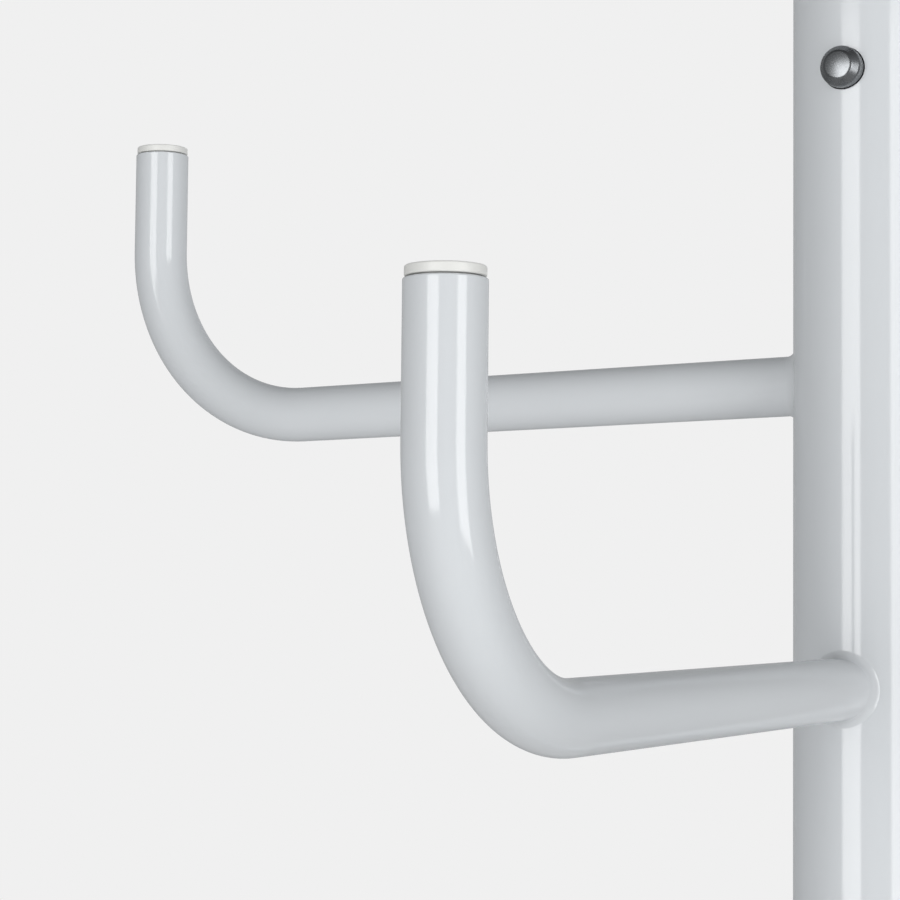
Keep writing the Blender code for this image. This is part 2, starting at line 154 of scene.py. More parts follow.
def turnedPiece(name, outline, steps, sideways=False):  # one point pushed along an outline, then spun round Z
    clearSelection()
    bpy.ops.mesh.primitive_plane_add(size=0.001, location=(outline[0][0], 0, outline[0][1]))
    piece = bpy.context.object
    piece.name = name
    bake(piece)
    edit(piece)
    bpy.ops.mesh.select_all(action="SELECT")
    bpy.ops.mesh.merge(type="CENTER")
    for (radius, height), (nextRadius, nextHeight) in zip(outline, outline[1:]):
        push((nextRadius - radius, 0, nextHeight - height))
    bpy.ops.mesh.select_all(action="SELECT")
    bpy.ops.mesh.spin(steps=steps, angle=math.tau, center=(0, 0, 0), axis=(0, 0, 1))
    bpy.ops.object.mode_set(mode="OBJECT")
    closeUp(piece)
    if sideways:
        piece.rotation_euler = (0, math.pi / 2, 0)
        bake(piece)
    return piece


def copied(master, name, turn=0.0, place=(0, 0, 0)):
    piece = master.copy()
    piece.data = master.data.copy()
    piece.name = name
    piece.data.name = name
    bpy.context.scene.collection.objects.link(piece)
    piece.rotation_euler = (0, 0, turn)
    piece.location = place
    return bake(piece)


def settle(piece, node, finish):  # the piece stands for a CAD node and takes its body and its slot
    piece.data.materials.clear()
    piece.data.materials.append(finish)
    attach(piece, bodyOf[node])
    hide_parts(node)
    return piece


def camel(node):
    first, *rest = node.split("_")
    return first + "".join(word.capitalize() for word in rest)


def middleOf(node):
    low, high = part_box(node)
    return (low + high) / 2


# finishes

def linear(colour):  # sRGB hex to linear
    channels = [int(colour[step:step + 2], 16) / 255 for step in (1, 3, 5)]
    return [c / 12.92 if c <= 0.04045 else ((c + 0.055) / 1.055) ** 2.4 for c in channels] + [1]


def newFinish(name):
    finish = bpy.data.materials.new(name)
    finish.use_nodes = True
    return finish, finish.node_tree.nodes["Principled BSDF"]


def addNode(finish, kind, inputs=None, **settings):
    tree = finish.node_tree
    node = tree.nodes.new(kind)
    for key, value in settings.items():
        setattr(node, key, value)
    for socket, value in (inputs or {}).items():
        if isinstance(value, bpy.types.NodeSocket):
            tree.links.new(value, node.inputs[socket])
        else:
            node.inputs[socket].default_value = value
    return node


def connect(finish, shader, colour, gloss, bump):  # the three inputs that every finish here paints
    links = finish.node_tree.links
    links.new(colour.outputs["Result"], shader.inputs["Base Color"])
    links.new(gloss.outputs["Result"], shader.inputs["Roughness"])
    links.new(bump.outputs["Normal"], shader.inputs["Normal"])
    return finish


powder = {
    "light": "#d4d7d9",
    "dark": "#ced1d4",
    "roughness": (0.10, 0.14),
    "peel": 0.0011,       # orange peel of a sprayed and baked coat, m
    "peelDepth": 0.0000022,
    "wave": 0.007,        # slow unevenness of the film, m
    "waveDepth": 0.000008,
    "shade": 0.12,        # slow change of tone along the tubes, m
    "ior": 1.5,
}


# polyester powder coat on steel tube: a glossy, very slightly orange-peeled film, so highlights are sharp
# bands with a faint shiver in them
def powderCoatFinish():
    finish, shader = newFinish("glossyPowderCoatOnSteel")
    place = addNode(finish, "ShaderNodeTexCoord").outputs["Object"]
    slow = addNode(finish, "ShaderNodeTexNoise", {"Vector": place, "Scale": 1 / powder["shade"], "Detail": 2})
    peel = addNode(finish, "ShaderNodeTexNoise", {"Vector": place, "Scale": 1 / powder["peel"], "Detail": 1})
    wave = addNode(finish, "ShaderNodeTexNoise", {"Vector": place, "Scale": 1 / powder["wave"], "Detail": 1})
    colour = addNode(finish, "ShaderNodeMix", {"Factor": slow.outputs["Fac"], "A": linear(powder["light"]),
                                               "B": linear(powder["dark"])}, data_type="RGBA")
    smoothest, roughest = powder["roughness"]
    gloss = addNode(finish, "ShaderNodeMapRange", {"Value": wave.outputs["Fac"], "To Min": smoothest,
                                                   "To Max": roughest})
    waveBump = addNode(finish, "ShaderNodeBump", {"Height": wave.outputs["Fac"], "Strength": 1,
                                                  "Distance": powder["waveDepth"]})
    peelBump = addNode(finish, "ShaderNodeBump", {"Height": peel.outputs["Fac"], "Strength": 1,
                                                  "Distance": powder["peelDepth"],
                                                  "Normal": waveBump.outputs["Normal"]})
    shader.inputs["IOR"].default_value = powder["ior"]
    return connect(finish, shader, colour, gloss, peelBump)


plastic = {
    "cloud": 0.009,       # faint flow marks, m
    "grit": 0.0005,       # texture of the mould, m
    "gritDepth": 0.000012,
    "spread": 0.06,       # of the roughness, either way
    "ior": 1.51,
}


# low-density polyethylene, injection moulded: soft satin skin with a very fine mould texture
def mouldedPlasticFinish(name, light, dark, roughness):
    finish, shader = newFinish(name)
    place = addNode(finish, "ShaderNodeTexCoord").outputs["Object"]
    cloud = addNode(finish, "ShaderNodeTexNoise", {"Vector": place, "Scale": 1 / plastic["cloud"], "Detail": 3})
    grit = addNode(finish, "ShaderNodeTexNoise", {"Vector": place, "Scale": 1 / plastic["grit"], "Detail": 2})
    colour = addNode(finish, "ShaderNodeMix", {"Factor": cloud.outputs["Fac"], "A": linear(light),
                                               "B": linear(dark)}, data_type="RGBA")
    gloss = addNode(finish, "ShaderNodeMapRange", {"Value": grit.outputs["Fac"],
                                                   "To Min": roughness - plastic["spread"],
                                                   "To Max": roughness + plastic["spread"]})
    bump = addNode(finish, "ShaderNodeBump", {"Height": grit.outputs["Fac"], "Strength": 1,
                                              "Distance": plastic["gritDepth"]})
    shader.inputs["IOR"].default_value = plastic["ior"]
    return connect(finish, shader, colour, gloss, bump)


# dark chrome on the buttons: satin, dark where the room is dark, with a soft pale patch for each lamp
# bright zinc on the bolts, nuts and sleeves: pale, broken by a fine drawn grain
# blue-tempered spring strip: darker and bluish, with the lines of its rolling along it
metals = {
    "chrome": {"name": "satinDarkChromePlate", "light": "#7e8082", "dark": "#747678", "roughness": (0.24, 0.30),
               "grain": 0.0007, "stretch": (1, 1, 1), "depth": 0.0000005},
    "zinc": {"name": "brightZincPlate", "light": "#c8cacd", "dark": "#b3b6ba", "roughness": (0.22, 0.36),
             "grain": 0.0014, "stretch": (1, 1, 3), "depth": 0.00001},
    "spring": {"name": "blueTemperedSpringSteel", "light": "#8a8d93", "dark": "#6d7077", "roughness": (0.28, 0.4),
               "grain": 0.0006, "stretch": (6, 1, 1), "depth": 0.00001},
}


def metalFinish(metal):
    finish, shader = newFinish(metal["name"])
    place = addNode(finish, "ShaderNodeTexCoord").outputs["Object"]
    laid = addNode(finish, "ShaderNodeMapping", {"Vector": place, "Scale": metal["stretch"]})
    lines = addNode(finish, "ShaderNodeTexNoise", {"Vector": laid.outputs["Vector"],
                                                   "Scale": 1 / metal["grain"], "Detail": 4})
    colour = addNode(finish, "ShaderNodeMix", {"Factor": lines.outputs["Fac"], "A": linear(metal["light"]),
                                               "B": linear(metal["dark"])}, data_type="RGBA")
    smoothest, roughest = metal["roughness"]
    gloss = addNode(finish, "ShaderNodeMapRange", {"Value": lines.outputs["Fac"], "To Min": smoothest,
                                                   "To Max": roughest})
    bump = addNode(finish, "ShaderNodeBump", {"Height": lines.outputs["Fac"], "Strength": 1,
                                              "Distance": metal["depth"]})
    shader.inputs["Metallic"].default_value = 1
    return connect(finish, shader, colour, gloss, bump)


finishes = {
    "powder_coated_steel": powderCoatFinish(),
    "warm_white_plastic": mouldedPlasticFinish("warmWhitePolyethylene", "#e3e3e0", "#dededa", 0.42),
    "grey_plastic": mouldedPlasticFinish("greyPolyethylene", "#a9adb1", "#a1a5aa", 0.5),
    "chrome_plate": metalFinish(metals["chrome"]),
    "zinc_plated_steel": metalFinish(metals["zinc"]),
    "spring_steel": metalFinish(metals["spring"]),
}
print("finishes made")


# pole tubes

poleTube = {
    "radius": 0.019,
    "wall": 0.0015,
    "around": 128,
    "holeFit": 0.0002,    # hole round a snap button
    "holeEdge": 0.0004,
    "boltHole": 0.0033,
    "cutPast": 0.003,     # how far a drill passes the wall on either side
    "rowStep": 0.0015,    # rows of faces near a button hole
    "rows": 14,
}
button = {
    "radius": 0.0054,
    "proud": 0.0050,
    "turn": math.radians(-88),  # round the pole from +X
    "face": 0.0037,       # slightly domed end
    "sag": 0.00030,
    "shoulder": 0.0024,   # height of the sloping band round the face
    "flange": 0.0012,
    "flangeRadius": 0.0068,
    "tail": 0.0016,
    "tailHead": 0.0028,
    "tailEnd": 0.0010,    # height of the tail's riveted head
    "play": 0.0003,       # between the spring strip and the button
    "edge": 0.0004,
    "domeSteps": 6,
    "around": 64,
}


def makePoleTube(node, holeHeight=None, bolts=()):
    low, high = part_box(node)
    radius, bore = poleTube["radius"], poleTube["radius"] - poleTube["wall"]
    outline = [(bore, low.z), (radius, low.z)]
    if holeHeight:
        span = poleTube["rowStep"] * poleTube["rows"] / 2
        rows = [holeHeight - span + step * poleTube["rowStep"] for step in range(poleTube["rows"] + 1)]
        outline += [(radius, height) for height in rows]
    outline += [(radius, high.z), (bore, high.z), (bore, low.z)]
    piece = turnedPiece(camel(node), outline, poleTube["around"])
    start, end = bore - poleTube["cutPast"], radius + poleTube["cutPast"]
    tools = [pin("boltHole", poleTube["boltHole"], start, end, height, turn, 24) for turn, height in bolts]
    if holeHeight:
        tools.append(pin("buttonHole", button["radius"] + poleTube["holeFit"], start, end, holeHeight,
                         button["turn"]))
    cutAway(piece, tools)
    softEdges(piece, poleTube["holeEdge"])
    return settle(piece, node, finishes["powder_coated_steel"])


boltPlaces = [(math.radians(turn), middleOf(f"{side}_leg_{row}_nut").z)
              for side, turn in sides.items() for row in ("lower", "upper")]
makePoleTube("lower_pole_tube", middleOf("lower_snap_button").z, boltPlaces)
makePoleTube("middle_pole_tube", middleOf("upper_snap_button").z)
makePoleTube("upper_pole_tube")
print("pole tubes made")


# hooks and legs: one way of making a bent tube with a weld fillet at its root

hookTube = {
    "radius": 0.008,
    "wall": 0.0012,
    "bend": 0.052,
    "slope": math.radians(-1),
    "rise": 0.079,        # arm's axis at the pole to the tube's end
    "fillet": 0.0026,
    "around": 64,
    "bendSteps": 40,
}
legTube = {
    "radius": 0.011,
    "wall": 0.0015,
    "bend": 0.060,
    "slope": 0.0,
    "rise": 0.0897,       # arm's axis to the foot's seat
    "fillet": 0.0018,
    "around": 64,
    "bendSteps": 40,
}


weld = {
    "skirt": 0.0004,      # ring outside the fillet
    "sink": 0.00015,      # how deep the skirt stands in the wall
    "straight": 1.5,      # fillets' widths of straight tube after the root
    "steps": 8,
    "touch": 0.00002,
}


def wrapOnto(piece, group, radius):  # slides a named ring along X onto a round wall
    clearSelection()
    bpy.ops.mesh.primitive_cylinder_add(vertices=512, radius=radius, depth=0.2, location=(0, 0, 0))
    guide = bpy.context.object
    shape(piece, "SHRINKWRAP", target=guide, vertex_group=group, wrap_method="PROJECT", use_project_x=True,
          use_negative_direction=True, use_positive_direction=True)
    bpy.data.objects.remove(guide)


def nameRing(piece, group, test):
    edit(piece)
    pick("VERT", test)
    bpy.ops.object.mode_set(mode="OBJECT")
    chosen = [vert.index for vert in piece.data.vertices if vert.select]
    piece.vertex_groups.new(name=group).add(chosen, 1, "REPLACE")


def bentTube(name, tube, wall, reach):
    radius, bend, slope, fillet = tube["radius"], tube["bend"], tube["slope"], tube["fillet"]
    along = Vector((math.cos(slope), 0, math.sin(slope)))
    lip = radius + fillet + weld["skirt"]
    run = (reach - bend * (1 - math.sin(slope))) / math.cos(slope)
    tail = tube["rise"] - run * math.sin(slope) - bend * math.cos(slope)
    clearSelection()
    bpy.ops.mesh.primitive_circle_add(vertices=tube["around"], radius=lip, location=along * wall,
                                      rotation=(0, math.pi / 2 - slope, 0))
    piece = bpy.context.object
    piece.name = name
    bake(piece)
    edit(piece)
    bpy.ops.mesh.select_all(action="SELECT")
    push((0, 0, 0))
    bpy.ops.transform.resize(value=(radius / lip,) * 3, center_override=along * wall)
    rootEnd = wall + fillet * weld["straight"]
    push(along * (rootEnd - wall))
    push(along * (run - rootEnd))
    centre = along * run + Vector((-math.sin(slope), 0, math.cos(slope))) * bend
    bpy.ops.mesh.spin(steps=tube["bendSteps"], angle=math.pi / 2 - slope, center=centre, axis=(0, 1, 0))
    push((0, 0, tail))
    bpy.ops.object.mode_set(mode="OBJECT")
    closeUp(piece)

    def fromAxis(point):
        return (point - along * point.dot(along)).length

    nameRing(piece, "skirt", lambda vert: vert.co.x < wall * 1.05 and fromAxis(vert.co) > radius * 1.05)
    nameRing(piece, "corner", lambda vert: vert.co.x < wall * 1.05 and fromAxis(vert.co) < radius * 1.02)
    wrapOnto(piece, "corner", wall)
    wrapOnto(piece, "skirt", wall - weld["sink"])
    edit(piece)
    onWall = wall + weld["touch"]
    pick("EDGE", lambda edge: all(math.hypot(v.co.x, v.co.y) < onWall and fromAxis(v.co) < radius * 1.02
                                  for v in edge.verts))
    bpy.ops.mesh.bevel(offset=fillet, offset_type="OFFSET", segments=weld["steps"], profile=0.5,
                       affect="EDGES")
    bpy.ops.object.mode_set(mode="OBJECT")
    shape(piece, "SOLIDIFY", thickness=tube["wall"], offset=-1)
    piece.vertex_groups.clear()
    return softEdges(piece, tube["wall"] * 0.3)


reach = math.hypot(*middleOf("middle_right_hook_plug").xy)
hookMaster = bentTube("hookMaster", hookTube, poleTube["radius"], reach)
hookNodes = [f"{level}_{side}_hook" for level in ("middle", "upper") for side in sides]
for node in hookNodes:
    side = node.split("_")[1]
    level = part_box(node)[1].z - hookTube["rise"]
    piece = copied(hookMaster, camel(node), math.radians(sides[side]), (0, 0, level))
    settle(piece, node, finishes["powder_coated_steel"])
bpy.data.objects.remove(hookMaster)
print("hooks made")

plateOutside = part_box("right_leg_plate")[1].x
legReach = math.hypot(*middleOf("right_foot").xy)
legMaster = bentTube("legMaster", legTube, plateOutside, legReach)
legMaster.rotation_euler = (math.pi, 0, 0)
bake(legMaster)
legHeight = middleOf("right_leg_plate").z
for side, turn in sides.items():
    piece = copied(legMaster, f"{side}Leg", math.radians(turn), (0, 0, legHeight))
    settle(piece, f"{side}_leg", finishes["powder_coated_steel"])
bpy.data.objects.remove(legMaster)
print("legs made")


# plugs, caps and feet

plugs = {
    "hook": {"head": 0.0077, "height": 0.0020, "stem": 0.0063, "length": 0.012, "wall": 0.0012, "edge": 0.00035,
             "dome": 0.0},
    "cap": {"head": 0.019, "height": 0.0050, "stem": 0.0170, "length": 0.018, "wall": 0.0012, "edge": 0.0022,
            "dome": 0.0012},
    "base": {"head": 0.019, "height": 0.0030, "stem": 0.0170, "length": 0.012, "wall": 0.0012, "edge": 0.0010,
             "dome": 0.0},
    "foot": {"head": 0.011, "height": 0.0100, "stem": 0.0090, "length": 0.016, "wall": 0.0012, "edge": 0.0011,
             "dome": 0.0},
}


def makePlug(name, size):
    head, height, stem = size["head"], size["height"], size["stem"]
    crown = [(0, height + size["dome"])]
    if size["dome"]:
        domeSteps = 6
        crown += [(head * step / domeSteps, height + size["dome"] * (1 - (step / domeSteps) ** 2))
                  for step in range(1, domeSteps)]
    outline = crown + [(head, height), (head, 0), (stem, 0), (stem, -size["length"]),
                       (stem - size["wall"], -size["length"]), (stem - size["wall"], 0), (0, 0)]
    return softEdges(turnedPiece(name, outline, 64), size["edge"], 4, 30)


def placePlug(size, node, flip=False):
    low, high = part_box(node)
    middle = middleOf(node)
    seat = high.z - size["height"] - size["dome"]
    if flip:
        seat = low.z + size["height"] + size["dome"]
    piece = makePlug(camel(node), size)
    piece.rotation_euler = (math.pi if flip else 0, 0, 0)
    piece.location = (middle.x, middle.y, seat)
    bake(piece)
    settle(piece, node, finishes[slotOf[node]])


for node in hookNodes:
    placePlug(plugs["hook"], node + "_plug")
placePlug(plugs["cap"], "pole_top_cap")
placePlug(plugs["base"], "pole_bottom_cap", flip=True)
for side in sides:
    placePlug(plugs["foot"], f"{side}_foot", flip=True)
print("plugs, caps and feet made")


# snap buttons and their springs

spring = {
    "width": 0.008,
    "thickness": 0.0006,
    "below": 0.007,
    "above": 0.018,
    "bowSteps": 24,
    "backRows": 5,
    "frontRows": 4,
    "still": 0.004,       # depth at the back that the button doesn't move
    "edge": 0.00012,
}


def makeButton(node):
    low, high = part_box(node)
    outward = Vector((math.cos(button["turn"]), math.sin(button["turn"])))
    crown = poleTube["radius"] + button["proud"]
    inner = min(Vector((v.co.x, v.co.y)).dot(outward) for v in frame["nodes"][node].data.vertices)
    face, sag, steps = button["face"], button["sag"], button["domeSteps"]
    dome = [(face * step / steps, crown - sag * (step / steps) ** 2) for step in range(steps + 1)]
    dome.append((button["radius"], crown - button["shoulder"]))
    tailTop = inner + button["tailEnd"]
    flangeBack = tailTop + spring["thickness"] + 2 * button["play"]
    flangeFace = flangeBack + button["flange"]
    outline = dome + [(button["radius"], flangeFace), (button["flangeRadius"], flangeFace),
                      (button["flangeRadius"], flangeBack), (button["tail"], flangeBack),
                      (button["tail"], tailTop), (button["tailHead"], tailTop), (button["tailHead"] * 0.7, inner),
                      (0, inner)]
    piece = turnedPiece(camel(node), outline, button["around"], sideways=True)
    softEdges(piece, button["edge"], 4, 25)
    piece.rotation_euler = (0, 0, button["turn"])
    piece.location = (0, 0, (low.z + high.z) / 2)
    bake(piece)
    settle(piece, node, finishes["chrome_plate"])
    return flangeBack


def makeSpring(node, buttonNode, front):
    height = middleOf(buttonNode).z
    outward = Vector((math.cos(button["turn"]), math.sin(button["turn"])))
    back = min(Vector((v.co.x, v.co.y)).dot(outward) for v in frame["nodes"][node].data.vertices)
    clearSelection()
    bpy.ops.mesh.primitive_plane_add(size=1, location=(front, 0, -spring["below"] / 2),
                                     rotation=(0, math.pi / 2, 0))
    piece = bpy.context.object
    piece.name = camel(node)
    piece.scale = (spring["below"], spring["width"], 1)
    bake(piece)
    edit(piece)
    pick("EDGE", lambda edge: all(v.co.z > -0.0001 for v in edge.verts))
    for step in range(spring["frontRows"]):
        push((0, 0, spring["above"] / spring["frontRows"]))
    middle = (front + back) / 2
    bpy.ops.mesh.spin(steps=spring["bowSteps"], angle=math.pi, center=(middle, 0, spring["above"]),
                      axis=(0, 1, 0))
    for step in range(spring["backRows"]):
        push((0, 0, -(spring["above"] + spring["below"]) / spring["backRows"]))
    bpy.ops.object.mode_set(mode="OBJECT")
    closeUp(piece)
    shape(piece, "SOLIDIFY", thickness=spring["thickness"], offset=-1)
    cutAway(piece, [pin("rivetHole", button["tail"] + button["play"], 0.0, front + poleTube["cutPast"],
                        corners=32)])
    softEdges(piece, spring["edge"], 2, 40)
    piece.rotation_euler = (0, 0, button["turn"])
    piece.location = (0, 0, height)
    bake(piece)
    piece.data.materials.clear()
    piece.data.materials.append(finishes["spring_steel"])
    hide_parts(node)
    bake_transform(piece)


for which in ("lower", "upper"):
    flangeBack = makeButton(f"{which}_snap_button")
    makeSpring(f"{which}_button_spring", f"{which}_snap_button", flangeBack - button["play"])
print("snap buttons and springs made")


# leg plates, bolts and nuts

plate = {
    "thickness": 0.003,
    "corner": 0.007,
    "edge": 0.0006,
    "boltHole": 0.0033,
    "around": 192,
    "spare": 0.01,        # of the ring that the plate is cut from, above and below
    "cutFrom": 0.6,       # cutter's ends, as shares of the inner and the outer radius
    "cutTo": 1.2,
    "cutPast": 0.004,
}
bolt = {
    "head": 0.00525,
    "flat": 0.0029,       # rim round the socket
    "height": 0.0033,
    "shank": 0.003,
    "socket": 0.004,      # across the flats
    "socketDepth": 0.0021,
    "pitch": 0.001,       # M6 coarse thread
    "crest": 0.97,        # of the shank's radius
    "root": 0.86,
    "neck": 0.0006,       # plain shank under the head
    "plainEnd": 0.002,
    "tip": 0.0008,
    "tipRadii": (0.8, 0.7),
    "edge": 0.00015,
    "cutPast": 0.004,
}
nut = {
    "play": 0.0003,
    "chamfer": 0.0018,
    "chamferFrom": 0.5,   # of the width across the flats
    "chamferTo": 0.62,
    "edge": 0.0002,
}


def makePlate():
    low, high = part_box("right_leg_plate")
    width, height = high.y - low.y, high.z - low.z
    inside = high.x - plate["thickness"]
    under, over = low.z - plate["spare"], high.z + plate["spare"]
    outline = [(inside, under), (high.x, under), (high.x, over), (inside, over), (inside, under)]
    piece = turnedPiece("legPlateMaster", outline, plate["around"])
    clearSelection()
    blockStart, blockEnd = inside * plate["cutFrom"], high.x * plate["cutTo"]
    edgeLine = math.sqrt(high.x ** 2 - (width / 2) ** 2)  # where the plate's outer corners stand
    bpy.ops.mesh.primitive_plane_add(size=1, location=(blockStart, 0, (low.z + high.z) / 2),
                                     rotation=(0, math.pi / 2, 0))
    block = bpy.context.object
    block.scale = (height, width * blockStart / edgeLine, 1)
    bake(block)
    edit(block)
    bpy.ops.mesh.select_all(action="SELECT")
    bpy.ops.mesh.bevel(offset=plate["corner"], segments=8, affect="VERTICES")
    bpy.ops.mesh.select_all(action="SELECT")
    push((blockEnd - blockStart, 0, 0))
    bpy.ops.transform.resize(value=(1, blockEnd / blockStart, 1), center_override=(0, 0, 0))
    bpy.ops.object.mode_set(mode="OBJECT")
    closeUp(block)
    cutAway(piece, [block], "INTERSECT", solver="MANIFOLD")  # EXACT joins these narrow faces anew each run
    heights = [middleOf(f"right_leg_{row}_nut").z for row in ("lower", "upper")]
    cutAway(piece, [pin("plateHole", plate["boltHole"], inside - plate["cutPast"], high.x + plate["cutPast"],
                        height, corners=32) for height in heights], solver="MANIFOLD")
    return softEdges(piece, plate["edge"], 3, 40)


def makeBolt():
    low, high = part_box("right_leg_lower_bolt")
    head, shank = bolt["head"], bolt["shank"]
    seat = high.x - bolt["height"]
    flat, side = bolt["flat"], bolt["height"] * 0.25
    dome = [(0, high.x)] + [(flat + (head - flat) * math.sin(math.radians(angle)),
                             seat + side + (bolt["height"] - side) * math.cos(math.radians(angle)))
                            for angle in range(0, 91, 15)]
    thread = []
    turns = int((seat - low.x - bolt["plainEnd"]) / bolt["pitch"])
    for step in range(turns):
        crest = seat - bolt["neck"] - step * bolt["pitch"]
        thread += [(shank * bolt["crest"], crest), (shank * bolt["root"], crest - bolt["pitch"] / 2)]
    tipStart, tipEnd = bolt["tipRadii"]
    outline = dome + [(head, seat), (shank, seat)] + thread
    outline += [(shank * tipStart, low.x + bolt["tip"]), (shank * tipEnd, low.x), (0, low.x)]
    piece = turnedPiece("boltMaster", outline, 48, sideways=True)
    cutAway(piece, [pin("socket", bolt["socket"] / math.sqrt(3), high.x - bolt["socketDepth"],
                        high.x + bolt["cutPast"], corners=6)])
    return softEdges(piece, bolt["edge"], 2, 45)


def makeNut():
    low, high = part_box("right_leg_lower_nut")
    flats = min(high.y - low.y, high.z - low.z)
    piece = pin("nutMaster", flats / math.sqrt(3), low.x, high.x, corners=6)
    inside, outside = flats * nut["chamferFrom"], flats * nut["chamferTo"]
    outline = [(0, low.x - 0.001), (inside, low.x - 0.001), (outside, low.x + nut["chamfer"]),
               (outside, high.x + 0.001), (0, high.x + 0.001)]
    cutAway(piece, [turnedPiece("nutChamfer", outline, 48, sideways=True)], "INTERSECT")
    cutAway(piece, [pin("nutBore", bolt["shank"] + nut["play"], low.x - 0.002, high.x + 0.002, corners=32)])
    return softEdges(piece, nut["edge"], 2, 35)


plateMaster, boltMaster, nutMaster = makePlate(), makeBolt(), makeNut()
for side, degrees in sides.items():
    turn = math.radians(degrees)
    settle(copied(plateMaster, f"{side}LegPlate", turn), f"{side}_leg_plate", finishes["powder_coated_steel"])
    for row in ("lower", "upper"):
        place = (0, 0, middleOf(f"{side}_leg_{row}_nut").z)
        for master, kind in ((boltMaster, "bolt"), (nutMaster, "nut")):
            node = f"{side}_leg_{row}_{kind}"
            settle(copied(master, camel(node), turn, place), node, finishes["zinc_plated_steel"])
for master in (plateMaster, boltMaster, nutMaster):
    bpy.data.objects.remove(master)
print("plates, bolts and nuts made")


# joint sleeves

sleeve = {"wall": 0.0015, "fit": 0.0003, "edge": 0.0004, "around": 96}


def makeSleeve(node, buttonNode):
    low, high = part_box(node)
    radius = poleTube["radius"] - poleTube["wall"] - sleeve["fit"]
    bore = radius - sleeve["wall"]
    outline = [(bore, low.z), (radius, low.z), (radius, high.z), (bore, high.z), (bore, low.z)]
    piece = turnedPiece(camel(node), outline, sleeve["around"])
    hole = pin("sleeveHole", button["radius"] + poleTube["holeFit"], bore - poleTube["cutPast"],
               radius + poleTube["cutPast"], middleOf(buttonNode).z, button["turn"])
    cutAway(piece, [hole])
    softEdges(piece, sleeve["edge"])
    settle(piece, node, finishes["zinc_plated_steel"])


for which in ("lower", "upper"):
    makeSleeve(f"{which}_joint_sleeve", f"{which}_snap_button")
print("joint sleeves made")


# studio

studio = {
    "floor": ("#efefef", "#ececec"),
    "floorMarks": 1.3,         # faint marks in the paint, in a metre
    "floorRoughness": 0.7,
    "floorSize": 3.2,
    "floorFade": (1.0, 3.1),   # the floor melts into the backdrop between these radii
    "glow": "#f3f4f6",
    "floorGlow": 0.30,         # keeps the floor pale to the eye, and sheds nothing on the rack
    "backdrop": "#f0f0f0",
    "room": "#f0f2f4",
    "roomLight": 0.46,
    "roomSide": 0.30,      # how much brighter the room is on the right
    "roomDark": 0.75,      # how much darker it is overhead and underfoot
}
camera = {
    "lens": 100.1,
    "azimuth": math.radians(28.98),
    "tilt": math.radians(3.91),
    "roll": math.radians(0.56),
    "toRight": 0.1091,    # of the camera, the pole's axis
    "away": 0.6568,
    "above": 0.0161,      # the camera above the lower hook's arm
    "swing": math.radians(0.03),
}
softBoxes = {  # angle against the camera's direction, as the near hook's upright sees it
    "leftStrip": {"angle": -33, "distance": 3.2, "width": 1.76, "height": 2.22, "middle": 0.94, "power": 58,
                  "inGloss": True},
    "rightStrip": {"angle": 45.5, "distance": 3.2, "width": 1.46, "height": 2.22, "middle": 0.94, "power": 46,
                   "inGloss": True},
    "backFill": {"angle": 178, "distance": 3.0, "width": 2.4, "height": 2.0, "middle": 2.0, "power": 45,
                 "inGloss": False},
}


def makeFloor():
    clearSelection()
    bpy.ops.mesh.primitive_circle_add(vertices=128, radius=studio["floorSize"], fill_type="NGON")
    floor = bpy.context.object
    floor.name = "paleFloor"
    finish, shader = newFinish("palePaintedFloor")
    place = addNode(finish, "ShaderNodeTexCoord").outputs["Object"]
    cloud = addNode(finish, "ShaderNodeTexNoise", {"Vector": place, "Scale": studio["floorMarks"], "Detail": 2})
    light, dark = studio["floor"]
    colour = addNode(finish, "ShaderNodeMix", {"Factor": cloud.outputs["Fac"], "A": linear(light),
                                               "B": linear(dark)}, data_type="RGBA")
    finish.node_tree.links.new(colour.outputs["Result"], shader.inputs["Base Color"])
    shader.inputs["Roughness"].default_value = studio["floorRoughness"]
    shader.inputs["Specular IOR Level"].default_value = 0.2
    shader.inputs["Emission Color"].default_value = linear(studio["glow"])
    ray = addNode(finish, "ShaderNodeLightPath")
    glow = addNode(finish, "ShaderNodeMath", {0: ray.outputs["Is Camera Ray"], 1: studio["floorGlow"]},
                   operation="MULTIPLY")
    finish.node_tree.links.new(glow.outputs["Value"], shader.inputs["Emission Strength"])
    reach = addNode(finish, "ShaderNodeVectorMath", {0: place}, operation="LENGTH")
    near, far = studio["floorFade"]
    fade = addNode(finish, "ShaderNodeMapRange", {"Value": reach.outputs["Value"], "From Min": near,
                                                  "From Max": far}, interpolation_type="SMOOTHSTEP")
    clear = addNode(finish, "ShaderNodeBsdfTransparent")
    mixed = addNode(finish, "ShaderNodeMixShader", {0: fade.outputs["Result"], 1: shader.outputs["BSDF"],
                                                    2: clear.outputs["BSDF"]})
    output = finish.node_tree.nodes["Material Output"]
    finish.node_tree.links.new(mixed.outputs["Shader"], output.inputs["Surface"])
    floor.data.materials.append(finish)


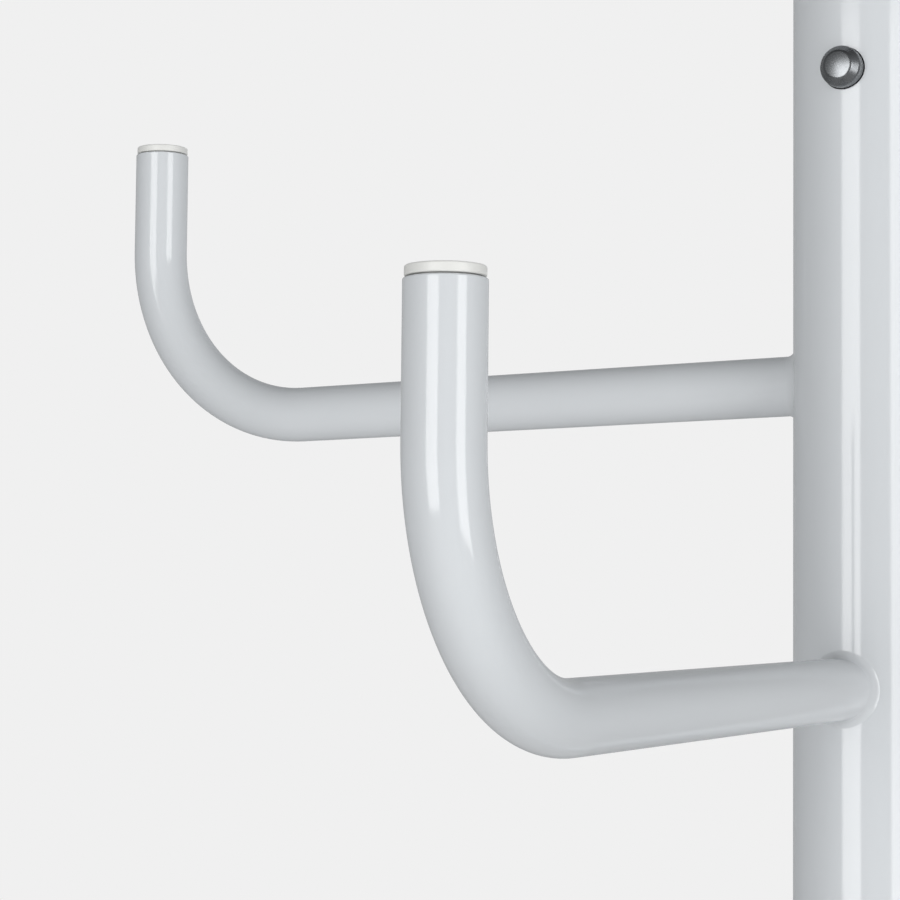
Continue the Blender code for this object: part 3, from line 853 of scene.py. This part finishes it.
def makeRoom():  # pale backdrop, and a dimmer grey room for what the coat reflects
    room = bpy.data.worlds.new("studioRoom")
    bpy.context.scene.world = room
    room.use_nodes = True
    room.node_tree.nodes.clear()
    turn = camera["azimuth"]
    look = addNode(room, "ShaderNodeTexCoord").outputs["Generated"]
    sideways = addNode(room, "ShaderNodeVectorMath", {0: look, 1: (math.cos(turn), math.sin(turn), 0)},
                       operation="DOT_PRODUCT")
    level = addNode(room, "ShaderNodeMapRange", {"Value": sideways.outputs["Value"], "From Min": -1,
                                                 "To Min": studio["roomLight"] * (1 - studio["roomSide"]),
                                                 "To Max": studio["roomLight"] * (1 + studio["roomSide"])})
    upward = addNode(room, "ShaderNodeVectorMath", {0: look, 1: (0, 0, 1)}, operation="DOT_PRODUCT")
    steep = addNode(room, "ShaderNodeMath", {0: upward.outputs["Value"], 1: upward.outputs["Value"]},
                    operation="MULTIPLY")
    dim = addNode(room, "ShaderNodeMapRange", {"Value": steep.outputs["Value"], "To Min": 1,
                                               "To Max": 1 - studio["roomDark"]})
    strength = addNode(room, "ShaderNodeMath", {0: level.outputs["Result"], 1: dim.outputs["Result"]},
                       operation="MULTIPLY")
    ray = addNode(room, "ShaderNodeLightPath")
    seen = addNode(room, "ShaderNodeBackground", {"Color": linear(studio["backdrop"]), "Strength": 1})
    around = addNode(room, "ShaderNodeBackground", {"Color": linear(studio["room"]),
                                                    "Strength": strength.outputs["Value"]})
    mixed = addNode(room, "ShaderNodeMixShader", {0: ray.outputs["Is Camera Ray"],
                                                  1: around.outputs["Background"],
                                                  2: seen.outputs["Background"]})
    addNode(room, "ShaderNodeOutputWorld", {"Surface": mixed.outputs["Shader"]})


def makeCamera():
    turn = camera["azimuth"]
    right = Vector((math.cos(turn), math.sin(turn), 0))
    forward = Vector((-math.sin(turn), math.cos(turn), 0))
    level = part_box("middle_front_hook")[1].z - hookTube["rise"]
    bpy.ops.object.camera_add()
    lens = bpy.context.object
    lens.name = "closeView"
    lens.data.lens = camera["lens"]
    lens.data.sensor_width = 36
    lens.data.clip_start = 0.01
    lens.location = Vector((0, 0, level + camera["above"])) - right * camera["toRight"] - forward * camera["away"]
    aim = Matrix.Rotation(turn + camera["swing"], 3, "Z") @ Matrix.Rotation(math.pi / 2 + camera["tilt"], 3, "X")
    aim = aim @ Matrix.Rotation(camera["roll"], 3, "Z")
    lens.rotation_euler = aim.to_euler()
    bpy.context.scene.camera = lens


def makeSoftBoxes():
    near = middleOf("middle_front_hook_plug")
    for name, box in softBoxes.items():
        turn = camera["azimuth"] + math.radians(box["angle"])
        away = Vector((math.sin(turn), -math.cos(turn), 0)) * box["distance"]
        place = Vector((near.x, near.y, box["middle"])) + away
        bpy.ops.object.light_add(type="AREA", location=place)
        lamp = bpy.context.object
        lamp.name = name
        lamp.data.shape = "RECTANGLE"
        lamp.data.size = box["width"]
        lamp.data.size_y = box["height"]
        lamp.data.energy = box["power"]
        lamp.rotation_euler = (-away).to_track_quat("-Z", "Y").to_euler()
        lamp.visible_camera = False
        lamp.visible_glossy = box["inGloss"]


makeFloor()
makeRoom()
makeCamera()
makeSoftBoxes()
bpy.context.scene.view_settings.view_transform = "Standard"
print("studio made")
